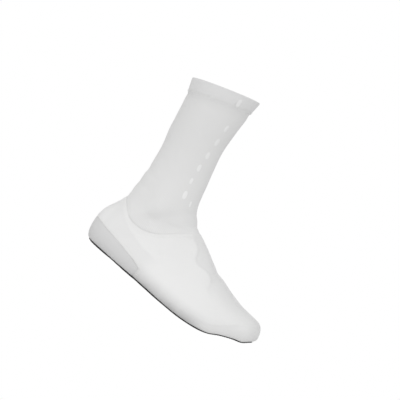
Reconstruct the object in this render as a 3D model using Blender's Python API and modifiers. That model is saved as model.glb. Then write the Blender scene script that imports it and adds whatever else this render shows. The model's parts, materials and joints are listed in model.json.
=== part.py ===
"""A cycling oversock for the right foot, in the form that it has when it is worn.

The sock is five panels of cloth: a cuff band, a leg sleeve, a foot cover, a heel panel and a
sole panel. All are cut from one skin, which is lofted through rings from the cuff down the leg,
round the heel and along the foot to the toe. The lines between the panels are drawn as they
look from the side, and cut straight through.

+X points to the toe, the outer side of the foot faces -Y, and the foot bed is the plane z = 0.
The origin is the heel seat on the foot bed. The tables are in millimetres, and their x is
measured from the back of the heel.
"""

import math
from collections import namedtuple

import bmesh
import bpy
import numpy as np

MM = 0.001
HEEL_SEAT = 35.0  # from the back of the heel to the origin
CLOTH_WALL = 1.2
CUFF_WALL = 1.6
SOLE_WALL = 1.6
GAP = 0.3  # between neighbouring panels
TOE_POINT = 0.6  # how far the tip stands ahead of the last ring
AROUND = 36  # points round a ring
LINE_SPACING = 6.0  # between the points of a line seen from the side
CORNER_STEPS = 6  # sides to a rounded corner of a window
PROBE = 0.01  # the small step along and round the skin that finds its slope
FAR = 400.0  # well outside the sock
UNDER = -60.0  # well below the sole
INSIDE = 40.0  # well above the sole, inside the foot

# A row is one ring of the skin. It crosses the outline seen from the side at a front and a back
# point: the shin and the calf on the leg, the instep and the heel at the ankle, the top and the
# sole on the foot. outer and inner are its reach to the two sides, widest_at is where it is
# widest from back (0) to front (1), a power of 2 is round and a higher one squarer, and front_y
# and back_y move the two points sideways.
RING_COLUMNS = (
    "front_x", "front_z", "back_x", "back_z", "outer", "inner",
    "widest_at", "back_power", "front_power", "front_y", "back_y",
)
RINGS = (
    (70.8, 304.0, -26.6, 269.4, 47.0, 47.0, 0.50, 2.00, 2.05, 2, 2),  # cuff edge
    (71.0, 282.0, -18.6, 248.5, 43.5, 43.5, 0.50, 2.00, 2.05, 2, 2),  # foot of the cuff band
    (72.8, 250.0, -11.4, 224.0, 40.5, 40.5, 0.50, 2.00, 2.05, 2, 2),
    (76.9, 214.6, -3.5, 191.5, 37.0, 37.0, 0.50, 1.95, 2.05, 2, 2),
    (84.3, 187.0, 3.8, 168.5, 34.5, 34.5, 0.50, 1.90, 2.05, 2, 2),
    (92.4, 159.7, 8.6, 144.0, 33.5, 33.5, 0.50, 1.90, 2.05, 3, 2),  # above the ankle bones
    (101.5, 133.7, 12.1, 118.0, 35.0, 35.5, 0.48, 1.90, 2.00, 4, 1),
    (109.2, 122.8, 13.2, 98.0, 36.0, 37.0, 0.46, 1.90, 2.00, 5, 1),
    (117.8, 113.7, 13.8, 81.0, 36.5, 37.0, 0.44, 1.95, 2.00, 6, 0),  # collar of the foot
    (123.0, 110.2, 8.4, 65.0, 36.5, 37.0, 0.40, 2.00, 2.00, 6, 0),
    (127.0, 108.2, 1.8, 49.0, 36.5, 36.5, 0.34, 2.00, 2.00, 7, 0),
    (130.0, 107.2, 0.0, 34.0, 36.5, 36.0, 0.29, 2.10, 2.00, 7, 0),  # back of the heel
    (132.5, 106.4, 1.4, 20.0, 36.5, 35.5, 0.26, 2.20, 2.00, 7, 0),
    (134.8, 105.6, 5.2, 7.5, 36.5, 35.0, 0.25, 2.40, 2.05, 7, 0),
    (137.2, 104.8, 11.5, 0.2, 36.5, 35.0, 0.24, 2.90, 2.10, 7, 0),
    (140.0, 103.6, 21.5, -2.0, 37.0, 35.0, 0.24, 3.80, 2.15, 7, 0),  # heel on the ground
    (144.5, 101.6, 40.0, -2.0, 38.0, 35.0, 0.25, 5.20, 2.20, 7, 0),
    (150.5, 98.9, 66.0, -2.0, 39.5, 35.0, 0.26, 7.00, 2.25, 7, 0),
    (158.5, 95.2, 98.0, -2.0, 42.0, 35.5, 0.28, 7.00, 2.30, 8, 0),  # waist of the foot
    (170.0, 89.4, 132.0, -2.0, 46.0, 39.0, 0.31, 7.00, 2.30, 8, 0),
    (186.0, 83.5, 165.0, -1.9, 49.5, 44.5, 0.34, 7.00, 2.30, 8, 1),
    (205.0, 77.4, 193.5, 0.4, 50.0, 48.5, 0.36, 7.00, 2.30, 8, 2),  # ball of the foot
    (224.5, 72.0, 218.0, 5.0, 47.0, 49.0, 0.38, 6.50, 2.30, 8, 3),
    (243.0, 68.8, 240.0, 13.2, 41.5, 45.0, 0.40, 6.00, 2.30, 8, 5),
    (259.5, 67.9, 258.5, 21.2, 34.0, 38.0, 0.42, 5.00, 2.30, 8, 7),
    (272.0, 67.2, 272.5, 27.2, 26.5, 30.0, 0.44, 4.20, 2.30, 9, 9),
    (280.0, 64.6, 280.8, 33.4, 18.5, 21.0, 0.46, 3.40, 2.25, 10, 10),
    (285.6, 58.4, 286.0, 38.6, 11.0, 12.0, 0.48, 2.80, 2.20, 11, 11),
    (288.6, 51.6, 288.7, 43.0, 4.8, 5.0, 0.50, 2.20, 2.10, 11, 11),  # tip of the toe
)
CUFF_EDGE, BAND_FOOT, ANKLE_RING, COLLAR_RING, HEEL_CORNER_RING = 0, 1, 6, 8, 14
TOE_RING = len(RINGS) - 1

# A row is a soft swelling, or a hollow where its height is below zero, that shows through the
# cloth: its middle and spread seen from the side, its height, and the side of the foot it is on.
Swell = namedtuple("Swell", "x z spread_x spread_z height side")
OUTER, INNER, BOTH = -1, 1, 0
SWELLS = (
    Swell(66, 97, 13, 13, 4.5, OUTER),  # outer ankle bone
    Swell(74, 106, 14, 13, 4.0, INNER),  # inner ankle bone
    Swell(50, 80, 12, 7, -1.8, BOTH),  # hollow under and behind the ankle bones
    Swell(30, 112, 9, 22, -2.5, BOTH),  # hollow in front of the heel cord
    Swell(137, 91, 9, 7, 3.0, OUTER),  # a low lump at the instep
    Swell(170, 76, 11, 7, 2.4, OUTER),  # a low lump further forward
)
COLLAR_SWELL = 2.2  # how far the cover stands proud of the sleeve, on the sides
COLLAR_SLOPE = 10.0  # how far below the topline it has risen to that

# Swellings fade out towards the outline seen from the side, and one that is on one side of the
# foot fades in there: the sideways lean of the cloth at which each starts and is whole.
OFF_OUTLINE = (0.15, 0.6)
ON_ONE_SIDE = (-0.1, 0.3)

# The lines between the panels, as rows of (x, z) seen from the side, run past both outlines.
TOPLINE = (
    (-30, 104), (-8, 91), (8, 81), (18, 72.5), (28, 64), (38, 59), (50, 57.5), (62, 59),
    (74, 63.5), (84, 69.5), (96, 80), (110, 92), (124, 104), (150, 126.5),
)
HEEL_LINE = ((-30, 34.5), (2.5, 32), (20, 28.8), (42, 26), (64, 22.6), (80, 19.6), (95, 15))
SOLE_EDGE = (
    (-30, 0), (60, 0), (120, 0), (172, 0), (192, 2.2), (212, 5.6), (230, 10.6), (248, 18.4),
    (262, 24.4), (273, 29.8), (280, 34.6), (286, 38.2), (293, 39.6), (310, 40),
)

# The windows in the sole: the middle, the length, the width and the radius of the corners.
Window = namedtuple("Window", "x y length width corner")
SOLE_WINDOWS = {
    "cleat_window": Window(166, 0, 118, 58, 24),
    "heel_window": Window(37, 0, 34, 34, 14),
}

CLOTH_COLOURS = {
    "cuff_band": (0.78, 0.78, 0.78),
    "leg_sleeve": (0.74, 0.74, 0.74),
    "foot_cover": (0.85, 0.85, 0.85),
    "heel_panel": (0.66, 0.66, 0.66),
    "sole_panel": (0.02, 0.02, 0.02),
}


def spline(knots, values, at):
    """Reads a natural cubic spline through the rows of values at the given places."""
    gaps = np.diff(knots)
    system = np.eye(len(knots))
    bends = np.zeros_like(values)
    for i in range(1, len(knots) - 1):
        system[i, i - 1 : i + 2] = gaps[i - 1], 2 * (gaps[i - 1] + gaps[i]), gaps[i]
        slope_in = (values[i] - values[i - 1]) / gaps[i - 1]
        slope_out = (values[i + 1] - values[i]) / gaps[i]
        bends[i] = 6 * (slope_out - slope_in)
    bends = np.linalg.solve(system, bends)
    i = np.clip(np.searchsorted(knots, at) - 1, 0, len(gaps) - 1)
    span = gaps[i][:, None]
    near = (knots[i + 1] - at)[:, None] / span
    far = 1 - near
    arch = (near**3 - near) * bends[i] + (far**3 - far) * bends[i + 1]
    return near * values[i] + far * values[i + 1] + arch * span**2 / 6


def ring_knots():
    """The spline's places of the rings: how far their front and back points have moved."""
    points = np.array(RINGS)[:, :4]
    moved = np.hypot(*np.diff(points[:, :2], axis=0).T) + np.hypot(*np.diff(points[:, 2:], axis=0).T)
    return np.concatenate([[0.0], np.cumsum(moved / 2)])


def bare_skin(places, turns):
    """Points of the skin before its swellings, for each place along it and each turn round it.

    A turn of 0 is the front point, a quarter turn the outer side, and half a turn the back.
    """
    rings = spline(ring_knots(), np.array(RINGS, dtype=float), places)
    ring = {name: column[:, None] for name, column in zip(RING_COLUMNS, rings.T)}
    along, aside = np.cos(turns)[None, :], np.sin(turns)[None, :]
    power = np.where(along >= 0, ring["front_power"], ring["back_power"])
    along = np.sign(along) * np.abs(along) ** (2 / power)
    half = np.where(aside >= 0, ring["outer"], ring["inner"])
    aside = np.sign(aside) * np.abs(aside) ** (2 / power)
    widest = ring["widest_at"]
    share = widest + along * np.where(along >= 0, 1 - widest, widest)
    x = ring["back_x"] + share * (ring["front_x"] - ring["back_x"])
    y = ring["back_y"] + share * (ring["front_y"] - ring["back_y"]) - aside * half
    z = ring["back_z"] + share * (ring["front_z"] - ring["back_z"])
    return np.stack([x, y, z], axis=-1)


def smooth_line(line):
    """Points along a smooth curve through a line's rows, about LINE_SPACING apart."""
    rows = np.array(line, dtype=float)
    knots = np.concatenate([[0.0], np.cumsum(np.hypot(*np.diff(rows, axis=0).T))])
    count = round(knots[-1] / LINE_SPACING)
    return spline(knots, rows, np.linspace(0, knots[-1], count))


def rise(value, low, high):
    """Goes smoothly from 0 at low to 1 at high."""
    share = np.clip((value - low) / (high - low), 0, 1)
    return share * share * (3 - 2 * share)


def depth_below(line, x, z):
    """How far points lie below a line seen from the side, and less than zero above it."""
    rows = smooth_line(line)
    start, step = rows[:-1], np.diff(rows, axis=0)
    nearest = np.full(x.shape, np.inf)
    for (x0, z0), (dx, dz) in zip(start, step):
        share = np.clip(((x - x0) * dx + (z - z0) * dz) / (dx * dx + dz * dz), 0, 1)
        nearest = np.minimum(nearest, np.hypot(x - x0 - share * dx, z - z0 - share * dz))
    return np.where(z < np.interp(x, rows[:, 0], rows[:, 1]), nearest, -nearest)


def skin(places, turns):
    """Points of the skin with its swellings, as an array of rings."""
    points = bare_skin(places, turns)
    outward = np.cross(
        bare_skin(places, turns + PROBE) - bare_skin(places, turns - PROBE),
        bare_skin(places + PROBE, turns) - bare_skin(places - PROBE, turns),
    )
    outward /= np.maximum(np.linalg.norm(outward, axis=-1, keepdims=True), 1e-9)
    x, z = points[..., 0], points[..., 2]
    height = COLLAR_SWELL * rise(depth_below(TOPLINE, x, z), 0, COLLAR_SLOPE)
    for swell in SWELLS:
        on_side = rise(outward[..., 1] * swell.side, *ON_ONE_SIDE) if swell.side else 1.0
        across = ((x - swell.x) / swell.spread_x) ** 2 + ((z - swell.z) / swell.spread_z) ** 2
        height = height + swell.height * np.exp(-across / 2) * on_side
    off_outline = rise(np.abs(outward[..., 1]), *OFF_OUTLINE)
    return points + outward * (height * off_outline)[..., None]


def collection(name):
    """A new collection of the scene."""
    made = bpy.data.collections.new(name)
    bpy.context.scene.collection.children.link(made)
    return made


def material(name, colour):
    """A matt cloth of one colour."""
    made = bpy.data.materials.new(name)
    made.use_nodes = True
    shader = made.node_tree.nodes["Principled BSDF"]
    shader.inputs["Base Color"].default_value = (*colour, 1.0)
    shader.inputs["Roughness"].default_value = 0.8
    shader.inputs["Metallic"].default_value = 0.0
    return made


def new_object(name, mesh, group):
    """An object on a mesh, in a collection."""
    made = bpy.data.objects.new(name, mesh)
    group.objects.link(made)
    return made


def to_world(point):
    """A place in the tables' millimetres as metres from the heel seat."""
    x, y, z = point
    return ((x - HEEL_SEAT) * MM, y * MM, z * MM)


def places_between(first, last, steps):
    """Places from one row of the table to another, with so many steps to each row."""
    knots = ring_knots()
    count = math.ceil((last - first) * steps)
    return np.interp(np.linspace(first, last, count + 1), np.arange(len(knots)), knots)


def skin_panel(name, places, wall, closed_toe=False):
    """A tube of cloth through the rings at the given places, as an object of the model."""
    turns = np.arange(AROUND) * 2 * math.pi / AROUND
    grid = skin(places, turns)
    mesh = bpy.data.meshes.new(name)
    made = bmesh.new()
    rings = [[made.verts.new(to_world(point)) for point in ring] for ring in grid]
    for ring, following in zip(rings, rings[1:]):
        for i in range(AROUND):
            j = (i + 1) % AROUND
            made.faces.new((ring[i], ring[j], following[j], following[i]))
    if closed_toe:
        tip = made.verts.new(to_world(grid[-1].mean(axis=0) + (TOE_POINT, 0, 0)))
        for i in range(AROUND):
            made.faces.new((rings[-1][i], rings[-1][(i + 1) % AROUND], tip))
    made.to_mesh(mesh)
    made.free()
    mesh.shade_smooth()
    mesh.materials.append(material(name, CLOTH_COLOURS[name]))
    panel = new_object(name, mesh, SOCK)
    shell = panel.modifiers.new("wall", "SOLIDIFY")
    shell.thickness = wall * MM
    shell.offset = -1
    shell.use_even_offset = True
    return panel


def prism(name, outline, axis, low, high):
    """A cutter: an outline of (x, z) or (x, y) rows drawn out along axis, from low to high."""
    mesh = bpy.data.meshes.new(name)
    made = bmesh.new()
    corners = []
    for first, second in outline:
        place = (first, low, second) if axis == "y" else (first, second, low)
        corners.append(made.verts.new(to_world(place)))
    made.faces.new(corners)
    drawn = bmesh.ops.extrude_face_region(made, geom=list(made.faces))
    moved = [item for item in drawn["geom"] if isinstance(item, bmesh.types.BMVert)]
    way = (0, (high - low) * MM, 0) if axis == "y" else (0, 0, (high - low) * MM)
    bmesh.ops.translate(made, vec=way, verts=moved)
    bmesh.ops.recalc_face_normals(made, faces=list(made.faces))
    made.to_mesh(mesh)
    made.free()
    cutter = new_object(name, mesh, CUTTERS)
    cutter.hide_render = True
    cutter.display_type = "WIRE"
    return cutter


def side_region(name, rows, level):
    """A cutter through the whole sock: the region of the side view between rows and a level."""
    ends = [(rows[-1][0], level), (rows[0][0], level)]
    return prism(name, [*rows, *ends], "y", -FAR, FAR)


def moved_line(line, amount):
    """The points of a line of the side view, moved up by an amount."""
    return [(x, z + amount) for x, z in smooth_line(line)]


def cut(panel, cutter, operation="DIFFERENCE"):
    """Adds a Boolean by a cutter to a panel."""
    step = panel.modifiers.new(cutter.name, "BOOLEAN")
    step.operation = operation
    step.object = cutter
    step.solver = "EXACT"


def rounded_outline(window):
    """The outline of a window in the sole, as rows of (x, y)."""
    rows = []
    for quarter, (side_x, side_y) in enumerate(((1, 1), (-1, 1), (-1, -1), (1, -1))):
        for step in range(CORNER_STEPS + 1):
            turn = (quarter + step / CORNER_STEPS) * math.pi / 2
            rows.append((
                window.x + side_x * (window.length / 2 - window.corner) + window.corner * math.cos(turn),
                window.y + side_y * (window.width / 2 - window.corner) + window.corner * math.sin(turn),
            ))
    return rows


def make_cuff_band():
    """The hem at the top of the leg."""
    places = places_between(CUFF_EDGE, BAND_FOOT, 2)
    places[-1] -= GAP / 2
    skin_panel("cuff_band", places, CUFF_WALL)


def make_leg_sleeve():
    """The knitted tube from the cuff band down to the topline."""
    places = np.concatenate([
        places_between(BAND_FOOT, ANKLE_RING, 1)[:-1],
        places_between(ANKLE_RING, HEEL_CORNER_RING, 1.5),
    ])
    places[0] += GAP / 2
    sleeve = skin_panel("leg_sleeve", places, CLOTH_WALL)
    cut(sleeve, side_region("below_topline", moved_line(TOPLINE, GAP / 2), UNDER))


def heel_region(name, amount):
    """A cutter: the heel panel's region of the side view, grown up and forward by an amount."""
    rows = moved_line(HEEL_LINE, amount)
    rows[-1] = (rows[-1][0] + amount, rows[-1][1])
    return side_region(name, rows, UNDER)


def make_foot_cover(under_edge):
    """The outer of the foot, from the topline to the edge of the sole and the heel panel."""
    places = places_between(COLLAR_RING - 1.5, TOE_RING, 1.5)
    cover = skin_panel("foot_cover", places, CLOTH_WALL, closed_toe=True)
    cut(cover, side_region("above_topline", moved_line(TOPLINE, -GAP / 2), FAR))
    cut(cover, heel_region("heel_wedge", GAP / 2))
    cut(cover, under_edge)


def make_heel_panel(under_edge):
    """The wedge wrapped round the back of the heel, down to the edge of the sole."""
    places = places_between(COLLAR_RING + 1, COLLAR_RING + 10, 1.5)
    heel = skin_panel("heel_panel", places, CLOTH_WALL)
    cut(heel, heel_region("heel_wedge_inner", -GAP / 2), "INTERSECT")
    cut(heel, under_edge)


def make_sole_panel():
    """The underside, with its two windows."""
    places = places_between(COLLAR_RING + 4, TOE_RING, 1.5)
    sole = skin_panel("sole_panel", places, SOLE_WALL, closed_toe=True)
    region = side_region("sole_region", moved_line(SOLE_EDGE, -GAP / 2), UNDER)
    cut(sole, region, "INTERSECT")
    for name, window in SOLE_WINDOWS.items():
        cut(sole, prism(name, rounded_outline(window), "z", UNDER, INSIDE))


for leftover in list(bpy.data.objects):
    bpy.data.objects.remove(leftover)
SOCK = collection("cycling_oversock")
CUTTERS = collection("cutters")
make_cuff_band()
make_leg_sleeve()
sole_cutter = side_region("under_sole_edge", moved_line(SOLE_EDGE, GAP / 2), UNDER)
make_foot_cover(sole_cutter)
make_heel_panel(sole_cutter)
make_sole_panel()
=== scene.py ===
"""The looks of a white cycling oversock for the right foot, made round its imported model.

The panels repeat the skin of the model's source: it is lofted through rings from the cuff down
the leg, round the heel and along the foot to the toe. Here it gets a fine grid, the relief of
folds and seams, laps, hems, stitches and woven and knitted cloth. The tables are in millimetres,
and their x is measured from the back of the heel. +X points to the toe and the outer side of the
foot faces -Y.
"""

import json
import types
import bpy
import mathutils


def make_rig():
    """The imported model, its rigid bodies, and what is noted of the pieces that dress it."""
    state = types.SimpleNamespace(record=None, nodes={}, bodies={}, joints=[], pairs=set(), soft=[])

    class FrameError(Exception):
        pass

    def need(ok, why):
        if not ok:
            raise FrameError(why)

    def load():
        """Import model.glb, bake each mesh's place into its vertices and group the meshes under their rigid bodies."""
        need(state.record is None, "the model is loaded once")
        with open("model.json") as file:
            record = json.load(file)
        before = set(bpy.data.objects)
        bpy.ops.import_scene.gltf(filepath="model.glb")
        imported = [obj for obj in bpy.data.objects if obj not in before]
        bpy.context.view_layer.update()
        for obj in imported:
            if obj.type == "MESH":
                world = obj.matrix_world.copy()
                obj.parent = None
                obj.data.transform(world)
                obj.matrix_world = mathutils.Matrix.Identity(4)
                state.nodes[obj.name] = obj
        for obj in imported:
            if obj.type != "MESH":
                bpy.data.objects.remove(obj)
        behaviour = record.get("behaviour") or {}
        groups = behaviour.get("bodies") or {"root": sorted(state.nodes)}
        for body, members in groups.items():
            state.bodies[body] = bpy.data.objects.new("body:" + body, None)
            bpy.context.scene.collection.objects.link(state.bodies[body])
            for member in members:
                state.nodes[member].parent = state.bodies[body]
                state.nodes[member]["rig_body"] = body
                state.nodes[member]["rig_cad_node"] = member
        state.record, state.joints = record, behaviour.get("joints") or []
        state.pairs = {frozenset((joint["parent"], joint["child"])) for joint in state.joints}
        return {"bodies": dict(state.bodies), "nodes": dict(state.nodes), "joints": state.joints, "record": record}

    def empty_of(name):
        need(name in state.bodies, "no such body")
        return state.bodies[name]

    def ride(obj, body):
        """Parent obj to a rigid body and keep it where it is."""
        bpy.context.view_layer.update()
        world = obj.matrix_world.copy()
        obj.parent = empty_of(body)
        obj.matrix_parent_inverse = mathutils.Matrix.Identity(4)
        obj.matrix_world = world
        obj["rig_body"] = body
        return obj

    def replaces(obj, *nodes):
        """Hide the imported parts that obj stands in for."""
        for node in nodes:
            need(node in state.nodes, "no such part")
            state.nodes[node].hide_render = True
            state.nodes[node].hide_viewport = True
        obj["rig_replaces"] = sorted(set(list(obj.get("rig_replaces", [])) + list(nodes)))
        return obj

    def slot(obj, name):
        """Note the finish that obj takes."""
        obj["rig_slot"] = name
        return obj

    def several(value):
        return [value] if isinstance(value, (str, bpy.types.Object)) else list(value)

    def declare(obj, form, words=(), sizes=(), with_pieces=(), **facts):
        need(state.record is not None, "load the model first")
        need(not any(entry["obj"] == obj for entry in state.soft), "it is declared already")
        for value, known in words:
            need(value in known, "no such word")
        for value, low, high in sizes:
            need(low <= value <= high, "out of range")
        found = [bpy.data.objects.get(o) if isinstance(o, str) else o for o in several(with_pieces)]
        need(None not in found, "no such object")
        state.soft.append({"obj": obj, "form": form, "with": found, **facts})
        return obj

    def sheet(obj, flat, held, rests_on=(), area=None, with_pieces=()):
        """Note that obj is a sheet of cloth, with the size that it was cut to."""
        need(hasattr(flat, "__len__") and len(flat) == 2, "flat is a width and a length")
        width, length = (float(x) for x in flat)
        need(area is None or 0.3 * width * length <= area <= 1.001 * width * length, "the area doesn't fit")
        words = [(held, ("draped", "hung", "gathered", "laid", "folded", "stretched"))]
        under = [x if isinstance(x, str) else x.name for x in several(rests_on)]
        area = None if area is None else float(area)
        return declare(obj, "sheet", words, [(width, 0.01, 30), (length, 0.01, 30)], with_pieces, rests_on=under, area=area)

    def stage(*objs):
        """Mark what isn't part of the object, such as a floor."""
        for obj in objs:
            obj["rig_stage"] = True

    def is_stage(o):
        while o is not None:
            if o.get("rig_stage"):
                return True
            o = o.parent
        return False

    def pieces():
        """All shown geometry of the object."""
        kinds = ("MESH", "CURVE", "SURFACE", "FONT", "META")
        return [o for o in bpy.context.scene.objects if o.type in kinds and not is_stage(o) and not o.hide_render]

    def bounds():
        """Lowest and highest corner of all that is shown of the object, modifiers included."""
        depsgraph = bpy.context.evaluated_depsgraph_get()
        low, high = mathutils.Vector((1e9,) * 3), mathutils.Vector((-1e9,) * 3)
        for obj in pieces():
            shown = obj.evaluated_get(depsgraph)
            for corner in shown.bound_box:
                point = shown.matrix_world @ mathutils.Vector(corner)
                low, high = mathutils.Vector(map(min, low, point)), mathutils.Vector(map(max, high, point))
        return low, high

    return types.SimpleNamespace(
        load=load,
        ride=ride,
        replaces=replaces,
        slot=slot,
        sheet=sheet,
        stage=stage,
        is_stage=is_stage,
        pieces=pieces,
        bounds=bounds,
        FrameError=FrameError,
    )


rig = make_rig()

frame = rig.load()
cad_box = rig.bounds()

import json
import math
from collections import namedtuple

import bmesh
import bpy
import numpy as np
from mathutils import Matrix, Vector

MM = 0.001
HEEL_SEAT = 35.0  # from the back of the heel to the origin
SPACING = 1.5  # between the points of the cloth
HEM_SPACING = 0.8  # the same at the cuff
LINE_SPACING = 2.0  # between the points of a line seen from the side
TAPE_SPACING = 1.6  # along the bindings
AROUND = 200  # points round a ring
FINE_TURNS = 160  # points to a quarter of a ring, where its length is measured
FINE_PLACES = 800  # the same along the skin
CLOTH_WALL = 0.9
SOLE_WALL = 1.2
SOLE_RIM = 0.25  # how far the sole's cut edges are rounded
EDGE_WALL = 0.25  # the share of its wall that any other cut edge keeps
EDGE_WIDTH = 2.5  # over what width it thins out to that
LAP = 5.0  # how far one panel runs on under the next
SOLE_LAP = 0.8  # the same under the sole, seen from the side
BAND_DEPTH = 22.0  # from the cuff's edge to the foot of its band
SNAP = 0.18  # how near to a cut, in steps of the grid, a point is moved onto it
SHORTEST_RUN = 8  # points in a line that is kept
WELD = 0.0005  # how near to each other points are joined
RIM_ANGLE, SHARP_ANGLE = math.radians(60), math.radians(55)
CLOTH_MAP, WHOLE_WALL = "cloth", "whole_wall"
# The masks painted on the cloth: wear together with painted shade low on the foot, and painted shade over hollows,
# with a little painted light.
WEAR_AND_PAINTED_SHADE, PAINTED_SHADE = "wear_and_painted_shade", "shade"

# A row is one ring of the skin. It crosses the outline seen from the side at a front and a back
# point: the shin and the calf on the leg, the instep and the heel at the ankle, the top and the
# sole on the foot. outer and inner are its reach to the two sides, widest_at is where it is
# widest from back (0) to front (1), a power of 2 is round and a higher one squarer, and front_y
# and back_y move the two points sideways.
RING_COLUMNS = (
    "front_x", "front_z", "back_x", "back_z", "outer", "inner",
    "widest_at", "back_power", "front_power", "front_y", "back_y",
)
RINGS = (
    (70.8, 304, -26.6, 269.4, 47, 47, 0.5, 2, 2.05, 2, 2),  # cuff edge
    (71, 282, -18.6, 248.5, 43.5, 43.5, 0.5, 2, 2.05, 2, 2),  # foot of the cuff band
    (72.8, 250, -11.4, 224, 40.5, 40.5, 0.5, 2, 2.05, 2, 2),
    (76.9, 214.6, -3.5, 191.5, 37, 37, 0.5, 1.95, 2.05, 2, 2),
    (84.3, 187, 3.8, 168.5, 34.5, 34.5, 0.5, 1.9, 2.05, 2, 2),
    (92.4, 159.7, 8.6, 144, 33.5, 33.5, 0.5, 1.9, 2.05, 3, 2),  # above the ankle bones
    (101.5, 133.7, 12.1, 118, 35, 35.5, 0.48, 1.9, 2, 4, 1),
    (109.2, 122.8, 13.2, 98, 36, 37, 0.46, 1.9, 2, 5, 1),
    (117.8, 113.7, 13.8, 81, 36.5, 37, 0.44, 1.95, 2, 6, 0),  # collar of the foot
    (123, 110.2, 8.4, 65, 36.5, 37, 0.4, 2, 2, 6, 0),
    (127, 108.2, 1.8, 49, 36.5, 36.5, 0.34, 2, 2, 7, 0),
    (130, 107.2, 0, 34, 36.5, 36, 0.29, 2.1, 2, 7, 0),  # back of the heel
    (132.5, 106.4, 1.4, 20, 36.5, 35.5, 0.26, 2.2, 2, 7, 0),
    (134.8, 105.6, 5.2, 7.5, 36.5, 35, 0.25, 2.4, 2.05, 7, 0),
    (137.2, 104.8, 11.5, 0.2, 36.5, 35, 0.24, 2.9, 2.1, 7, 0),
    (140, 103.6, 21.5, -2, 37, 35, 0.24, 3.8, 2.15, 7, 0),  # heel on the ground
    (144.5, 101.6, 40, -2, 38, 35, 0.25, 5.2, 2.2, 7, 0),
    (150.5, 98.9, 66, -2, 39.5, 35, 0.26, 7, 2.25, 7, 0),
    (158.5, 95.2, 98, -2, 42, 35.5, 0.28, 7, 2.3, 8, 0),  # waist of the foot
    (170, 89.4, 132, -2, 46, 39, 0.31, 7, 2.3, 8, 0),
    (186, 83.5, 165, -1.9, 49.5, 44.5, 0.34, 7, 2.3, 8, 1),
    (205, 77.4, 193.5, 0.4, 50, 48.5, 0.36, 7, 2.3, 8, 2),  # ball of the foot
    (224.5, 72, 218, 5, 47, 49, 0.38, 6.5, 2.3, 8, 3),
    (243, 68.8, 240, 13.2, 41.5, 45, 0.4, 6, 2.3, 8, 5),
    (259.5, 67.9, 258.5, 21.2, 34, 38, 0.42, 5, 2.3, 8, 7),
    (272, 67.2, 272.5, 27.2, 26.5, 30, 0.44, 4.2, 2.3, 9, 9),
    (280, 64.6, 280.8, 33.4, 18.5, 21, 0.46, 3.4, 2.25, 10, 10),
    (285.6, 58.4, 286, 38.6, 11, 12, 0.48, 2.8, 2.2, 11, 11),
    (288.6, 51.6, 288.7, 43, 4.8, 5, 0.5, 2.2, 2.1, 11, 11),  # tip of the toe
)
CUFF_EDGE, BAND_FOOT, COLLAR_RING, HEEL_CORNER_RING = 0, 1, 8, 14
TOE_RING = len(RINGS) - 1
TIP_RINGS = (0.75, 0.5, 0.25, 0.0)  # sizes of the rings that close the toe
TOE_POINT = 0.6  # how far the tip stands ahead of the last ring

# The lines between the panels, as rows of (x, z) seen from the side, run past both outlines.
TOPLINE = (
    (-30, 110), (-8, 95), (8, 84), (18, 75), (28, 66), (38, 60), (50, 58), (62, 59),
    (74, 63.5), (84, 69.5), (96, 80), (110, 92), (124, 104), (150, 126.5),
)
HEEL_LINE = ((-30, 34.5), (2.5, 32), (20, 28.8), (42, 26), (64, 22.6), (80, 19.6), (95, 15))
SOLE_EDGE = (
    (-30, 0), (60, 0), (120, 0), (172, 0), (192, 1.9), (206, 3.7), (220, 6.9), (230, 10.4),
    (240, 14.5), (255, 21.2), (264, 25), (273, 29.8), (280, 35.3), (286, 39.4), (293, 40.6), (310, 41),
)

# The windows in the sole: the middle, the length, the width and the radius of the corners.
Window = namedtuple("Window", "x y length width corner")
SOLE_WINDOWS = {
    "cleat_window": Window(166, 0, 118, 51, 17),
    "heel_window": Window(37, 0, 34, 34, 14),
}

# A row is a swelling, or a hollow where its height is below zero: its middle seen from the side,
# its lean from the X axis in degrees, how far it spreads along and across, its height, and the
# side of the foot it is on.
OUTER, INNER, BOTH = -1, 1, 0
SWELLS = (
    (62, 104, 0, 12, 12, 4.5, OUTER),  # outer ankle bone
    (74, 106, 0, 14, 13, 4.0, INNER),  # inner ankle bone
    (50, 80, 0, 12, 7, -1.8, BOTH),  # hollow under and behind the ankle bones
    (30, 112, 0, 9, 22, -2.5, BOTH),  # hollow in front of the heel cord
    (137, 91, 0, 9, 7, 3.0, OUTER),  # a low lump at the instep
    (170, 76, 0, 11, 7, 2.4, OUTER),  # a low lump further forward
)
FOLDS = (
    (112, 118, 28, 16, 2.6, 0.55, BOTH),  # over the bend of the ankle
    (116, 110, 24, 18, 2.2, -0.60, BOTH),
    (119, 104, 20, 15, 2.8, 0.55, BOTH),
    (108, 126, 32, 12, 2.0, -0.40, BOTH),
    (72, 91, 41, 30, 5.5, -1.6, OUTER),  # the hollow under the ankle bone, and on to the front
    (64, 74.5, 38, 9, 6.0, -3.3, OUTER),
    (186, 83, -20, 7, 8.0, -2.2, BOTH),  # a dent in the top of the foot
    (102, 48, 0, 4.5, 4.5, 0.7, OUTER),  # a small round lump
    (14, 130, -14, 11, 3.0, -0.55, BOTH),  # behind the ankle
    (15, 120, -8, 14, 3.2, 0.45, BOTH),
    (16, 108, -4, 12, 2.8, -0.40, BOTH),
    (17, 97, 6, 13, 3.0, 0.35, BOTH),
    (262, 42, 70, 10, 2.6, 0.25, BOTH),  # at the toe
    (252, 40, 66, 12, 3.0, -0.22, BOTH),
    (80, 40, -20, 26, 7.0, 0.30, OUTER),  # a soft pull over the heel quarter
    (64, 48, -24, 22, 6.0, -0.25, OUTER),
    (210, 40, -8, 40, 9.0, 0.35, OUTER),  # over the ball of the foot
    (214, 26, -12, 34, 7.0, -0.30, OUTER),
)
COLLAR_SWELL = 2.2  # how far the cover stands proud of the sleeve, on the sides
COLLAR_SLOPE = 10.0  # how far below the topline it has risen to that
OFF_OUTLINE = (0.15, 0.6)  # the sideways lean of the cloth at which swellings start and are whole
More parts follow.
